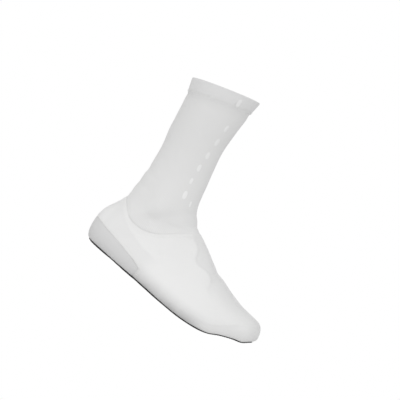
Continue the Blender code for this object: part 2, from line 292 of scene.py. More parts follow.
ON_ONE_SIDE = (-0.1, 0.3)  # the same for what is on one side of the foot
BELOW_TOPLINE = (0, 8)  # the same for the cover's folds, by how far below the topline they are
RIPPLE_LENGTHS = np.linspace(60.0, 22.0, 14)  # of the waves that make the cloth softly uneven
SOFT_RIPPLE, FIRM_RIPPLE = 0.16, 0.12  # how high they are in soft and in firm cloth

# A soft ridge on the outer side of the instep, under which the cloth is taut, and above which it
# spans a hollow.
RIDGE = (
    (106, 111), (118, 103), (125, 97), (134, 92), (141, 85), (146, 75.5), (158, 72), (168, 72.5),
    (176.5, 71), (182, 66), (186, 56), (194, 51.5), (207, 49), (221, 46.5), (235, 46), (247, 45.5),
    (262, 46),
)
RIDGE_HEIGHT = 0.6
RIDGE_DROP = 0.9
RIDGE_ENDS = (112, 122, 184, 206)  # where it starts and is whole, and where it fades and ends
RIDGE_ABOVE, RIDGE_BELOW = 2.6, 9.0  # how far it spreads to its two sides
RIDGE_FALL = (0, 4)  # how far above it the drop starts and is whole
RIDGE_RETURN = (8, 30)  # how far above it the drop fades and ends

# A row is a line along which the cloth steps in by a height over a spread, further down, with its
# ends as the ridge's. shade is how much shade is painted below the line.
Step = namedtuple("Step", "rows height spread ends shade")
STEPS = (
    Step(((8, 76), (20.8, 65.4), (32.4, 56.5), (48, 49.3), (67, 43.4), (84, 41), (101, 40), (118, 37.4)),
         0.4, 4.0, (10, 18, 88, 114), 0.95),  # beside the heel, below the collar
    Step(((176, 15), (192, 15.5), (206, 17.5), (218, 21), (233, 30), (248, 43), (261, 52.5), (280, 60)),
         0.5, 3.5, (188, 206, 254, 272), 0.5),  # round the toe
)
STEP_BACK = (8.0, 22.0)  # how far below a step its relief is whole, and has gone

# Painted shade on the outer side of the cloth, where it spans a hollow, and painted light on the
# sleeve just above the front of the topline.
SHADE_TONE = 0.95  # the tone where the shade is whole
STEP_SHADE = (-0.7, 1.4)  # how far below a step its shade starts, and is whole
RIDGE_PAINTED_SHADE = 0.9  # how much of the shade there is above the ridge
RIDGE_SHADE = ((183, 197), (2.0, 19.0))  # over how much it grows there, by x
COLLAR_PAINTED_LIGHT = (13.0, 60, 95)  # how far above the topline, and between which x, the sleeve is lighter
BAND_SHADE = (1.0, 15.0)  # how far below the cuff's band the shade there is whole, and has gone
SHADE_LINE = (-0.5, 0.5)  # over how much a shade ends at a line between panels
SHADE_SIDE = (-6, 12)  # how far to the outer side it starts, and is whole

# How rubbed and soiled the cloth is, low on the foot and at the toe, together with shade painted low
# on the foot, where it curves under towards the sole.
WEAR_SHADE_HEIGHT = 25.0  # how far above the sole's edge it starts
WEAR_SHADE_POWER = 1.6  # how fast it grows towards the edge
WEAR_SHADE_HEEL = (0.6, 80, 100)  # its share at the heel, and between which x it grows to the whole
WEAR_SHADE_FRONT = (0.4, 185, 225)  # its share further forward, and between which x it falls to that
WEAR_SHADE_TIP = (0.15, 255, 290)  # what it is at the tip of the toe, and between which x it grows to that

# The foot's sides are drawn in towards the sole's edge, and the edge is lifted under the toe.
TUCK = 3.8
TUCK_HEIGHT = 22.0  # how far above the edge this starts
TUCK_HALF_WIDTH = 44.0  # how far from the middle of the foot it is TUCK
TUCK_INNER = 0.5  # how much of it there is on the inner side
TUCK_ENDS = (195, 235)  # between which x it fades out, towards the toe
TOE_LIFT = 2.5
TOE_LIFT_ENDS = (226, 243, 262, 277)

# The laps: the edge of a panel that lies on its neighbour, and the neighbour below it.
ON_LAP = 0.3  # how far the panel on top stands out beside its edge
ON_LAP_ENDS = (2, 9)  # how far inside the edge that fades and ends
EDGE_SINK = 0.65  # how far the edge itself comes down again
EDGE_SINK_ENDS = (-0.4, 2.0)
HEEL_LAP = 0.7  # the share of all this above the heel wedge
UNDER_LAP = -0.72  # how deep the panel below lies
UNDER_TOPLINE = (-0.4, 6.0)  # how far outside its neighbour's edge it comes up again
UNDER_HEEL_LINE = (0.0, 2.5)
UNDER_SOLE_EDGE = (-0.3, 1.8)
SOLE_PROUD = 0.35  # how far the sole's edge stands out
SOLE_PROUD_ENDS = (0, 1.6)
SEAM_ROWS = (2.6, 4.2)  # how far the two rows of stitches are from a panel's edge
SEAM_STOP, LOCK_STOP = 1.5, 0.5  # how far above the sole's edge the threads over the heel end
SEAM_GROOVE, SEAM_SPREAD = 0.15, 0.8
PUCKER, PUCKER_PITCH, PUCKER_SPREAD = 0.10, 8.5, 3.5
PUCKER_WANDER = (2.5, 31)  # how far the puckers stray, and over what length
SOLE_SEAM = 0.5  # how far the row of stitches is below the sole's edge, seen from the side

# The hem of the cuff, from the foot of its outer ply, over the edge and down inside: how far a
# point of the middle of its cloth is below the edge, and how far out from the skin.
HEM_PROFILE = (
    (22.4, -0.80), (21, -0.72), (19, -0.56), (17, -0.40), (14, -0.2), (11, -0.1), (7, -0.05),
    (3, -0.05), (1.2, -0.1), (0.4, -0.25), (0, -0.65), (0.4, -1.05), (1.2, -1.25), (3, -1.3),
    (7, -1.35), (12, -1.5), (15, -2.25), (19, -2.4),
)
HEM_STEP = 0.6  # between the points of the profile
HEM_PAST_FOOT = 0.2  # how far below the band's foot its grid runs, in rows of the table of rings
HEM_WALL = 0.7
HEM_FOOT_DEPTH = 2.5  # over what depth it thins out at its foot
HEM_LAP = -0.95  # how deep the sleeve lies under it
HEM_LAP_ENDS = (0, 9)  # how far below its foot the sleeve comes up again
HEM_SEAM_ROWS = (19.6, 17.8)  # the depths of its two rows of stitches
HEM_PUCKER, HEM_PUCKERS = 0.07, 34  # how deep the puckers at its foot are, and how many
HEM_PUCKER_PLACE = (19, 3)  # their depth below the edge, and how far they spread
BAND_VALLEY, BAND_SPREAD = 0.3, 5.0  # how far the band's foot is drawn in, and how far that spreads

# The binding of a window in the sole: how far a point of the middle of its tape is from the
# window's edge, and how far out from the skin.
BINDING_PROFILE = (
    (4.6, 0.30), (3.4, 0.34), (1.8, 0.34), (0.7, 0.28), (0.05, 0.0), (-0.25, -0.6),
    (0.05, -1.2), (0.7, -1.48), (1.8, -1.54), (3.4, -1.54), (4.2, -1.50),
)
BINDING_STEP = 0.5
BINDING_WALL = 0.45
BINDING_SEAM = 3.0  # how far its row of stitches is from the window's edge

# The printed dashes on the outer side of the leg: the middle, seen from the side, the length and
# the width.
Dash = namedtuple("Dash", "x z length width")
CUFF_DASHES = (Dash(48.2, 283.0, 13, 6.2),)
LEG_DASHES = (
    Dash(58.6, 244.4, 11, 5.0), Dash(61.2, 221.5, 12, 6.0), Dash(63.6, 198.7, 11, 5.6),
    Dash(65.9, 177.6, 11, 5.2), Dash(69.6, 156.4, 9.5, 4.4), Dash(75.6, 135.6, 13, 6.2),
    Dash(90.2, 130.9, 9, 3.4),
)
DASH_HEIGHT = 0.22
DASH_SIDES = 28
DASH_RINGS = ((0.45, 0.96), (0.75, 0.8), (0.92, 0.45), (1.0, -0.4))  # shares of its size and height
DASH_POWERS = (0.7, 0.9)  # how square its outline is lengthways and across, where 1 is round
CUFF_PRINT_OUT = 0.33  # how far out from the skin the cuff's dashes lie

# A thread: the pitch, length and width of its stitches, how far they rise, and how far out they
# lie. Without a pitch they run from one point of their line to the next.
Thread = namedtuple("Thread", "pitch length width height out")
SEAM_THREAD = Thread(3.2, 2.5, 0.5, 0.12, 0.0)
HEM_THREAD = Thread(3.2, 2.5, 0.5, 0.12, 0.36)
LOCK_THREAD = Thread(None, None, 0.42, 0.12, -0.12)
SOLE_THREAD = Thread(3.8, 3.0, 0.6, 0.12, 0.1)
LOCK_ROW = 0.2  # how far the flatlock's zigzag is from the edge
LOCK_STEP, LOCK_REACH = 1.15, 1.0  # from corner to corner along it, and to its two sides

# A row is one ring of a stitch: its place along the thread, its thickness and its rise.
STITCH_RINGS = ((-1.0, 0.35, -1.0), (-0.72, 0.9, 0.1), (0.0, 1.0, 1.0), (0.72, 0.9, 0.1), (1.0, 0.35, -1.0))
STITCH_SIDES = 6

# The flat cut of a panel, of cloth that isn't stretched.
Flat = namedtuple("Flat", "width length area")
FLAT = {
    "cuff_hem": Flat(250, 41, 250 * 41),
    "leg_knit": Flat(230, 220, 44000),
    "foot_shell": Flat(230, 260, 45000),
    "heel_wedge": Flat(230, 45, 7000),
    "sole_cloth": Flat(95, 280, 14000),
}
WALES = 136  # ribs round the sleeve
RIB_PITCH = 2.0

# A cloth: its colour and roughness, the pitch of its threads or ribs, the length of its loops if it
# is knitted, the depth of its bumps, how much shade is painted between its threads together with how
# much its tone differs at random, its sheen, how much darker it is where it is rubbed and soiled and
# where shade is painted low on the foot, and its tone at the ankle, where it is less stretched than
# at the cuff.
Cloth = namedtuple("Cloth", "colour roughness pitch loop depth uneven sheen soil low_tone")
CLOTHS = {
    "cuff_cloth": Cloth((0.755, 0.755, 0.755), 0.75, 1.1, 1.2, 0.10, 0.06, 0.25, 0.0, 1.0),
    "sleeve_cloth": Cloth((0.755, 0.755, 0.752), 0.75, RIB_PITCH, 1.4, 0.12, 0.06, 0.25, 0.0, 1.05),
    # The darkening of the cover and the heel wedge low on the foot is soiling together with painted shade.
    "cover_cloth": Cloth((0.855, 0.855, 0.852), 0.55, 0.6, None, 0.05, 0.05, 0.12, 0.42, 1.0),
    "heel_cloth": Cloth((0.715, 0.715, 0.715), 0.7, 1.0, None, 0.10, 0.10, 0.15, 0.24, 1.0),
    "sole_cloth": Cloth((0.014, 0.014, 0.015), 0.7, 1.6, None, 0.25, 0.35, 0.05, 0.0, 1.0),
    "seam_thread": Cloth((0.84, 0.84, 0.83), 0.6, 1.0, None, 0.05, 0.05, 0.1, 0.0, 1.0),
    "dark_thread": Cloth((0.02, 0.02, 0.02), 0.6, 1.0, None, 0.05, 0.05, 0.05, 0.0, 1.0),
    "gloss_print": Cloth((0.83, 0.83, 0.83), 0.3, 1.0, None, 0.02, 0.03, 0.0, 0.0, 1.08),
}
SHEEN_ROUGHNESS = 0.5
ROUGHNESS_RANGE = 0.06  # how far the roughness wanders to either side
BROAD_NOISE, WEAR_SHADE_NOISE, FIBRE_NOISE = (14, 3.0), (60, 3.0), (2600, 2.0)  # lumps to a metre, detail
# The wear mask also holds the painted shade low on the foot, and this makes both patchy.
PATCHY = (0.7, 1.3)  # how uneven the wear is
LOW_TONE_HEIGHTS = (0.10, 0.22)  # in metres: where the ankle's tone is whole, and has gone
BROAD_DARK, BROAD_LIGHT, FIBRE_SHARE = 0.5, 0.15, 0.4  # shares of a cloth's unevenness
FIBRE_HEIGHT = 0.25  # of the fibres, where the weave's is 1
CROSSING, OVER, UNDER = 0.6, 1.0, 0.2  # the level of a thread beside, on top of and under another
LOOP_LEAN = 0.9  # how far, in loops, a loop droops beside its rib
LOOP_DIP = 0.7  # the height of a rib between two loops
RIB_POWER = 0.6  # the top of a rib is a sine's at 1, and broader below

# The studio, in metres and watts.
WHITE = (1.0, 1.0, 1.0, 1.0)
CAMERA_PLACE = (0.0613, -2.5, 0.1443)
CAMERA_UP = (-0.6561, 0.0, 0.7547)
VIEW_WIDTH = 0.572  # at the middle of the foot
WORLD_LIGHT = ((0.0, 0.44), (0.36, 0.58), (0.5, 0.86), (0.7, 0.84), (1.0, 0.7))  # nadir to zenith
KEY_PLACE, KEY_TARGET = (-0.4, -2.4, 0.45), (0.1, 0, 0.14)
KEY_SIZE, KEY_POWER = 1.6, 14.0
FLOOR_TONE, FLOOR_ROUGHNESS = 0.7, 0.9
FLOOR_PLACE = (0.1, 0.0, -0.45)
FLOOR_RADIUS, FLOOR_SIDES = 0.9, 96
# The floor's glow is painted light, and its dim middle under the object a painted shadow.
FLOOR_PAINTED_GLOW = (0.25, 0.85, 0.0, 0.5)  # from where to where its glow grows, and from what to what


def spline(knots, values, at):
    """Reads a natural cubic spline through the rows of values at the given places."""
    gaps = np.diff(knots)
    system = np.eye(len(knots))
    bends = np.zeros_like(values)
    for i in range(1, len(knots) - 1):
        system[i, i - 1 : i + 2] = gaps[i - 1], 2 * (gaps[i - 1] + gaps[i]), gaps[i]
        slope_in = (values[i] - values[i - 1]) / gaps[i - 1]
        slope_out = (values[i + 1] - values[i]) / gaps[i]
        bends[i] = 6 * (slope_out - slope_in)
    bends = np.linalg.solve(system, bends)
    i = np.clip(np.searchsorted(knots, at) - 1, 0, len(gaps) - 1)
    span = gaps[i][:, None]
    near = (knots[i + 1] - at)[:, None] / span
    far = 1 - near
    arch = (near**3 - near) * bends[i] + (far**3 - far) * bends[i + 1]
    return near * values[i] + far * values[i + 1] + arch * span**2 / 6


def run_up(steps, axis=0):
    """The sums of steps so far along an axis, from 0."""
    return np.insert(np.cumsum(steps, axis=axis), 0, 0.0, axis=axis)


def travelled(points, axis=0):
    """How far each point lies from the first one along an axis, by way of those between."""
    return run_up(np.linalg.norm(np.diff(points, axis=axis), axis=-1), axis)


def ring_knots():
    """The spline's places of the rings: how far their front and back points have moved."""
    points = np.array(RINGS)[:, :4]
    moved = np.hypot(*np.diff(points[:, :2], axis=0).T) + np.hypot(*np.diff(points[:, 2:], axis=0).T)
    return run_up(moved / 2)


def place_of(row):
    """The spline's place of a row of the table, or of a point between two rows."""
    knots = ring_knots()
    return float(np.interp(row, np.arange(len(knots)), knots))


def rise(value, low, high):
    """Goes smoothly from 0 at low to 1 at high."""
    share = np.clip((value - low) / (high - low), 0, 1)
    return share * share * (3 - 2 * share)


def hump(value, spread):
    """A smooth hump, 1 in the middle, that has all but gone three spreads away."""
    return np.exp(-((value / spread) ** 2) / 2)


def along_stretch(x, ends):
    """1 along a stretch and 0 outside it. Its ends are where it starts and is whole, and where it
    fades and ends."""
    start, whole, fade, end = ends
    return rise(x, start, whole) * (1 - rise(x, fade, end))


def side_fade(lean, side):
    """1 on one side of the foot and 0 on the other, or 1 on both."""
    return rise(lean * side, *ON_ONE_SIDE) if side else 1.0


def swellings(rows, x, z, lean):
    """The height of the rows' swellings at points with a place and a sideways lean."""
    height = np.zeros(x.shape)
    for row_x, row_z, turn, length, width, most, side in rows:
        turn = math.radians(turn)
        dx, dz = x - row_x, z - row_z
        along = dx * math.cos(turn) + dz * math.sin(turn)
        across = dz * math.cos(turn) - dx * math.sin(turn)
        height += most * hump(along, length) * hump(across, width) * side_fade(lean, side)
    return height


def smooth_rows(rows, step):
    """Rows about a step apart along a smooth curve through the given ones."""
    rows = np.array(rows, dtype=float)
    knots = travelled(rows)
    return spline(knots, rows, np.linspace(0, knots[-1], round(knots[-1] / step)))


def depth_below(line, x, z):
    """How far points lie below a line seen from the side, and less than zero above it."""
    rows = smooth_rows(line, LINE_SPACING)
    start, step = rows[:-1], np.diff(rows, axis=0)
    nearest = np.full(x.shape, np.inf)
    for (x0, z0), (dx, dz) in zip(start, step):
        share = np.clip(((x - x0) * dx + (z - z0) * dz) / (dx * dx + dz * dz), 0, 1)
        nearest = np.minimum(nearest, np.hypot(x - x0 - share * dx, z - z0 - share * dz))
    return np.where(z < np.interp(x, rows[:, 0], rows[:, 1]), nearest, -nearest)


def heel_depth(x, z):
    """How far points lie inside the heel wedge seen from the side."""
    return np.minimum(depth_below(HEEL_LINE, x, z), HEEL_LINE[-1][0] - x)


def window_distance(window, x, y):
    """How far points lie outside a window of the sole, and less than zero inside it."""
    over_x = np.abs(x - window.x) - (window.length / 2 - window.corner)
    over_y = np.abs(y - window.y) - (window.width / 2 - window.corner)
    corner = np.hypot(np.maximum(over_x, 0), np.maximum(over_y, 0))
    return corner + np.minimum(np.maximum(over_x, over_y), 0) - window.corner


def even_turns(rings):
    """Turns round each ring with even steps along the cloth, on the outer half and the inner."""
    share = np.linspace(0, 1, FINE_TURNS)[None, :]
    turns = []
    for start, near, far in ((0, "front_power", "back_power"), (math.pi, "back_power", "front_power")):
        quarters = []
        for power in (rings[near], rings[far]):
            up, down = share ** (power / 2), (1 - share) ** (power / 2)
            quarters.append(up / (up + down) * math.pi / 2)
        fine = np.concatenate([quarters[0], quarters[1][:, 1:] + math.pi / 2], axis=1) + start
        length = travelled(loft(rings, fine), axis=1)
        wanted = np.linspace(0, 1, AROUND // 2 + 1)[:-1]
        turns.append([np.interp(wanted * row[-1], row, turn) for row, turn in zip(length, fine)])
    return np.concatenate(turns, axis=1)


def loft(rings, turns):
    """Points of the skin before its swellings. A turn of 0 is the front point of a ring."""
    along, aside = np.cos(turns), np.sin(turns)
    power = np.where(along >= 0, rings["front_power"], rings["back_power"])
    along = np.sign(along) * np.abs(along) ** (2 / power)
    half = np.where(aside >= 0, rings["outer"], rings["inner"])
    aside = np.sign(aside) * np.abs(aside) ** (2 / power)
    widest = rings["widest_at"]
    share = widest + along * np.where(along >= 0, 1 - widest, widest)
    x = rings["back_x"] + share * (rings["front_x"] - rings["back_x"])
    y = rings["back_y"] + share * (rings["front_y"] - rings["back_y"]) - aside * half
    z = rings["back_z"] + share * (rings["front_z"] - rings["back_z"])
    return np.stack([x, y, z], axis=-1)


def outward_of(points):
    """The outward direction at each point of a grid that closes on itself sideways."""
    round_it = np.roll(points, -1, axis=1) - np.roll(points, 1, axis=1)
    outward = np.cross(round_it, np.gradient(points, axis=0))
    return outward / np.maximum(np.linalg.norm(outward, axis=-1, keepdims=True), 1e-9)


def even_places(first, last, spacing):
    """Places from one row of the table to another, with the rings a spacing apart at their widest."""
    fine = np.linspace(place_of(first), place_of(last), FINE_PLACES)
    front_back = spline(ring_knots(), np.array(RINGS)[:, :4], fine)
    moved = np.diff(front_back, axis=0)
    widest = np.maximum(np.hypot(*moved[:, :2].T), np.hypot(*moved[:, 2:].T))
    length = run_up(widest)
    return np.interp(np.linspace(0, length[-1], round(length[-1] / spacing) + 1), length, fine)


def closed_rings(points):
    """Rings of points with their first point again at the end."""
    return np.concatenate([points, points[:, :1]], axis=1)


class Grid:
    """A fine grid of points on the skin, from one row of the table of rings to another.

    x, z and side (the sideways lean) stay those of the plain skin when the points are lifted.
    marks are the places on the flat cloth, in millimetres round from the back line and down.
    """

    def __init__(self, first, last, spacing=SPACING, closed_toe=False):
        places = even_places(first, last, spacing)
        rings = spline(ring_knots(), np.array(RINGS, dtype=float), places)
        rings = {name: column[:, None] for name, column in zip(RING_COLUMNS, rings.T)}
        self.points = loft(rings, even_turns(rings))
        if closed_toe:
            self.close_toe()
        self.outward = outward_of(self.points)
        if closed_toe:
            self.outward[-1] = (1, 0, 0)
        self.swell()
        self.x, self.y, self.z = np.moveaxis(self.points, -1, 0).copy()
        self.side = self.outward[..., 1].copy()
        self.marks = self.flat_marks()

    def close_toe(self):
        """Adds smaller and smaller rings, down to the tip."""
        last = self.points[-1]
        middle = last.mean(axis=0)
        for size in TIP_RINGS:
            ring = middle + (last - middle) * size + (TOE_POINT * (1 - size * size), 0, 0)
            self.points = np.concatenate([self.points, ring[None]])

    def swell(self):
        """Moves the points out by the model's swellings."""
        x, z, side = self.points[..., 0], self.points[..., 2], self.outward[..., 1]
        height = COLLAR_SWELL * rise(depth_below(TOPLINE, x, z), 0, COLLAR_SLOPE)
        height += swellings(SWELLS, x, z, side)
        self.lift(height * rise(np.abs(side), *OFF_OUTLINE))

    def flat_marks(self):
        """Distances round each ring from its back line, and down the grid from its first ring."""
        closed = closed_rings(self.points)
        round_it = travelled(closed, axis=1)
        round_it -= round_it[:, AROUND // 2, None]
        return np.stack([round_it, travelled(closed)], axis=-1)

    def below(self, line):
        """How far the points lie below a line seen from the side."""
        return depth_below(line, self.x, self.z)

    def tuck(self):
        """Draws the sides of the foot in towards the sole's edge, and its toe up a little."""
        above = -self.below(SOLE_EDGE)
        share = np.clip(1 - np.maximum(above, 0) / TUCK_HEIGHT, 0, 1) ** 2
        inward = TUCK * (1 - rise(self.x, *TUCK_ENDS)) / TUCK_HALF_WIDTH
        inward = np.where(self.points[..., 1] > 0, inward * TUCK_INNER, inward)
        self.points[..., 1] -= self.points[..., 1] * inward * share
        self.points[..., 2] += TOE_LIFT * along_stretch(self.x, TOE_LIFT_ENDS) * share
        self.y = self.points[..., 1].copy()
        self.settle()

    def lift(self, height):
        """Moves the points outward by a height."""
        self.points = self.points + self.outward * height[..., None]

    def settle(self):
        """Works the outward directions out again, after the relief is on."""
        last = self.outward[-1]
        self.outward = outward_of(self.points)
        self.outward[-1] = last

    def at_depths(self, depths):
        """Rings of points with their outward directions, so far below the first ring."""
        both = np.concatenate([self.points, self.outward], axis=-1)
        down = self.marks[..., 1]
        columns = [
            [np.interp(depths, down[:, column], values) for values in both[:, column].T]
            for column in range(AROUND)
        ]
        return np.moveaxis(np.array(columns), -1, 0)


def snapped(points, keep):
    """Moves points that lie close to the zero line of keep onto it, so that no sliver is cut."""
    count, moved = np.zeros(keep.shape), np.zeros_like(points)
    for axis in (0, 1):
        other, other_points = np.roll(keep, -1, axis), np.roll(points, -1, axis)
        crossing = keep * other < 0
        if axis == 0:
            crossing[-1] = False
        share = np.where(crossing, keep / np.where(crossing, keep - other, 1), 0)
        place = points + share[..., None] * (other_points - points)
        for close, shift in ((share < SNAP, 0), (share > 1 - SNAP, 1)):
            close = close & crossing
            count += np.roll(close, shift, axis)
            moved += np.roll(np.where(close[..., None], place, 0), shift, axis)
    near = count > 0
    points = np.where(near[..., None], moved / np.maximum(count, 1)[..., None], points)
    return points, np.where(near, 0.0, keep)


def cell_corners(field):
    """The values of a field at the four corners of each cell of a grid, as a stack of four."""
    beside = np.roll(field, -1, axis=1)
    return np.stack([field[:-1], beside[:-1], beside[1:], field[1:]])


def cells(i, j, columns):
    """The corners round the cells at rows i and columns j of a tube, and their point numbers."""
    loop = ((i, j), (i, j + 1), (i + 1, j + 1), (i + 1, j))
    return loop, [row * columns + column % columns for row, column in loop]


def tube_faces(rings, sides):
    """The faces of a tube through rings of points, and the ring and the turn of their corners."""
    loop, numbers = cells(*np.indices((rings - 1, sides)).reshape(2, -1), sides)
    down_first = [0, 3, 2, 1]
    return np.stack(numbers, axis=1)[:, down_first], np.stack(loop).transpose(2, 0, 1)[:, down_first]


def clipped(grid, keep):
    """The part of a grid where keep is above zero: its points and how far inside they lie, its faces
    and its cloth coordinates."""
    points, keep = snapped(grid.points, keep)
    columns = keep.shape[1]
    corners = cell_corners(keep)
    low, high = corners.min(axis=0), corners.max(axis=0)
    points, inside, keep = list(points.reshape(-1, 3)), list(keep.ravel()), keep.ravel()
    faces, marks, cuts = [], [], {}
    for i, j in zip(*np.nonzero((low >= 0) | (high > 0))):
        loop, numbers = cells(i, j, columns)
        face, face_marks = [], []
        for here in range(4):
            following = (here + 1) % 4
            a, b = numbers[here], numbers[following]
            mark_a, mark_b = grid.marks[loop[here]], grid.marks[loop[following]]
            if keep[a] >= 0:
                face.append(a)
                face_marks.append(mark_a)
            if keep[a] * keep[b] < 0:
                share = keep[a] / (keep[a] - keep[b])
                key = (min(a, b), max(a, b))
                if key not in cuts:
                    cuts[key] = len(points)
                    points.append(points[a] + share * (points[b] - points[a]))
                    inside.append(0.0)
                face.append(cuts[key])
                face_marks.append(mark_a + share * (mark_b - mark_a))
        if len(face) > 2:
            faces.append(face)
            marks.extend(face_marks)
    used, places = np.unique(np.concatenate(faces), return_inverse=True)
    ends = np.cumsum([len(face) for face in faces])[:-1]
    faces = [part.tolist() for part in np.split(places, ends)]
    return np.array(points)[used], np.array(inside)[used], faces, np.array(marks)


def contours(grid, field, within=None):
    """Runs of points and outward directions along the zero line of a field over a grid."""
    columns = field.shape[1]
    corners = cell_corners(field)
    crossed = (corners.min(axis=0) < 0) & (corners.max(axis=0) >= 0)
    if within is not None:
        crossed &= cell_corners(within).min(axis=0) > 0

    def far_end(edge):
        row, column, sideways = edge
        return (row, (column + 1) % columns) if sideways else (row + 1, column)

    links = {}
    for i, j in zip(*np.nonzero(crossed)):
        sides = ((i, j, 1), (i, (j + 1) % columns, 0), (i + 1, j, 1), (i, j, 0))
        cut = [side for side in sides if (field[side[:2]] < 0) != (field[far_end(side)] < 0)]
        for a, b in zip(cut[::2], cut[1::2]):
            links.setdefault(a, set()).add(b)
            links.setdefault(b, set()).add(a)
    both = np.concatenate([grid.points, grid.outward], axis=-1)
    runs = []
    while links:
        here = next((key for key, ends in links.items() if len(ends) == 1), next(iter(links)))
        run = [here]
        while links.get(here):
            following = links[here].pop()
            links[following].discard(here)
            run.append(following)
            here = following
        for edge in run:
            if not links.get(edge):
                links.pop(edge, None)
        line = []
        for edge in run:
            a, b = edge[:2], far_end(edge)
            line.append(both[a] + field[a] / (field[a] - field[b]) * (both[b] - both[a]))
        if len(line) > SHORTEST_RUN:
            runs.append(np.array(line))
    return runs


def even_steps(line, step):
    """A line's points and directions again at even steps, about a step apart."""
    length = travelled(line[:, :3])
    wanted = np.linspace(0, length[-1], max(2, round(length[-1] / step)) + 1)
    made = np.stack([np.interp(wanted, length, column) for column in line.T], axis=1)
    made[:, 3:] /= np.linalg.norm(made[:, 3:], axis=1, keepdims=True)
    return made


def new_object(name, points, faces, marks):
    """A mesh object from points in the tables' millimetres, with its cloth coordinates."""
    mesh = bpy.data.meshes.new(name)
    mesh.from_pydata(((np.asarray(points) - (HEEL_SEAT, 0, 0)) * MM).tolist(), [], faces)
    layer = mesh.uv_layers.new(name=CLOTH_MAP)
    layer.data.foreach_set("uv", np.asarray(marks, dtype=np.float32).ravel())
    mesh.validate()
    made = bpy.data.objects.new(name, mesh)
    bpy.context.scene.collection.objects.link(made)
    return made


def weld(made):
    """Joins points that lie in one place."""
    mesh = bmesh.new()
    mesh.from_mesh(made.data)
    bmesh.ops.remove_doubles(mesh, verts=mesh.verts, dist=WELD * MM)
    mesh.to_mesh(made.data)
    mesh.free()


def mark_edges(made, share):
    """Notes how far the wall has grown to its whole thickness at each point."""
    whole = made.vertex_groups.new(name=WHOLE_WALL)
    for i, grown in enumerate(share):
        whole.add([i], grown, "REPLACE")


def thicken(made, wall, offset=-1.0, rim=0.0):
    """Gives a sheet its thickness and soft rims, for good."""
    shell = made.modifiers.new("wall", "SOLIDIFY")
    shell.thickness = wall * MM
    shell.offset = offset
    if made.vertex_groups:
        shell.vertex_group = WHOLE_WALL
        shell.thickness_vertex_group = EDGE_WALL
    if rim:
        edge = made.modifiers.new("rim", "BEVEL")
        edge.width = rim * MM
        edge.segments = 2
        edge.limit_method = "ANGLE"
        edge.angle_limit = RIM_ANGLE
    bpy.context.view_layer.update()
    shown = made.evaluated_get(bpy.context.evaluated_depsgraph_get())
    mesh = bpy.data.meshes.new_from_object(shown)
    made.modifiers.clear()
    thin = made.data
    made.data = mesh
    bpy.data.meshes.remove(thin)
    mesh.name = made.name


def finished(made, look, slot=None):
    """Smooths a piece, gives it its material and slot, and lets it ride on the model."""
    made.data.shade_smooth()
    made.data.set_sharp_from_angle(angle=SHARP_ANGLE)
    made.data.materials.clear()
    made.data.materials.append(LOOKS[look])
    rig.ride(made, "root")
    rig.slot(made, slot or look)
    return made


def panel(name, grid, keep, wall, look, rim=0.0):
    """A panel of cloth: the part of a grid where keep is above zero, with its thickness.

    Its cut edges thin out, unless they have a rounded rim.
    """
    points, inside, faces, marks = clipped(grid, keep)
    made = new_object(name, points, faces, marks)
    if not rim:
        mark_edges(made, rise(inside, 0, EDGE_WIDTH))
    weld(made)
    thicken(made, wall, rim=rim)
    paint_masks(made)
    return finished(made, look)


def tube(name, rows, u, v):
    """A sheet through rings of points that close on themselves, with its cloth coordinates."""
    faces, corners = tube_faces(*rows.shape[:2])
    marks = np.stack(np.broadcast_arrays(u, v), axis=-1)[corners[..., 0], corners[..., 1]]
    return new_object(name, rows.reshape(-1, 3), faces.tolist(), marks)


def strip(name, line, profile, look, wall, middle):
    """A band swept along a closed line. A row of the profile is how far away from the line's middle
    and how far out a point of the band's middle line lies."""
    ring = even_steps(line, TAPE_SPACING)[:-1]
    points, outward = ring[:, :3], ring[:, 3:]
    ahead = np.roll(points, -1, axis=0) - np.roll(points, 1, axis=0)
    away = np.cross(ahead, outward)
    away /= np.linalg.norm(away, axis=1, keepdims=True)
    if ((points - middle) * away).sum() < 0:
        away = -away
    rows = np.stack([points + away * far + outward * out for far, out in profile])
    made = tube(name, rows, np.arange(len(ring) + 1) * TAPE_SPACING, profile[:, :1])
    thicken(made, wall, offset=0.0)
    return finished(made, look)


def zigzag(line, step, reach):
    """The corners of a zigzag along a line, from one side of it to the other."""
    corners = even_steps(line, step)
    across = np.cross(np.gradient(corners[:, :3], axis=0), corners[:, 3:])
    across /= np.linalg.norm(across, axis=1, keepdims=True)
    sides = np.where(np.arange(len(corners)) % 2, 1, -1)[:, None]
    corners[:, :3] += across * sides * reach
    return corners


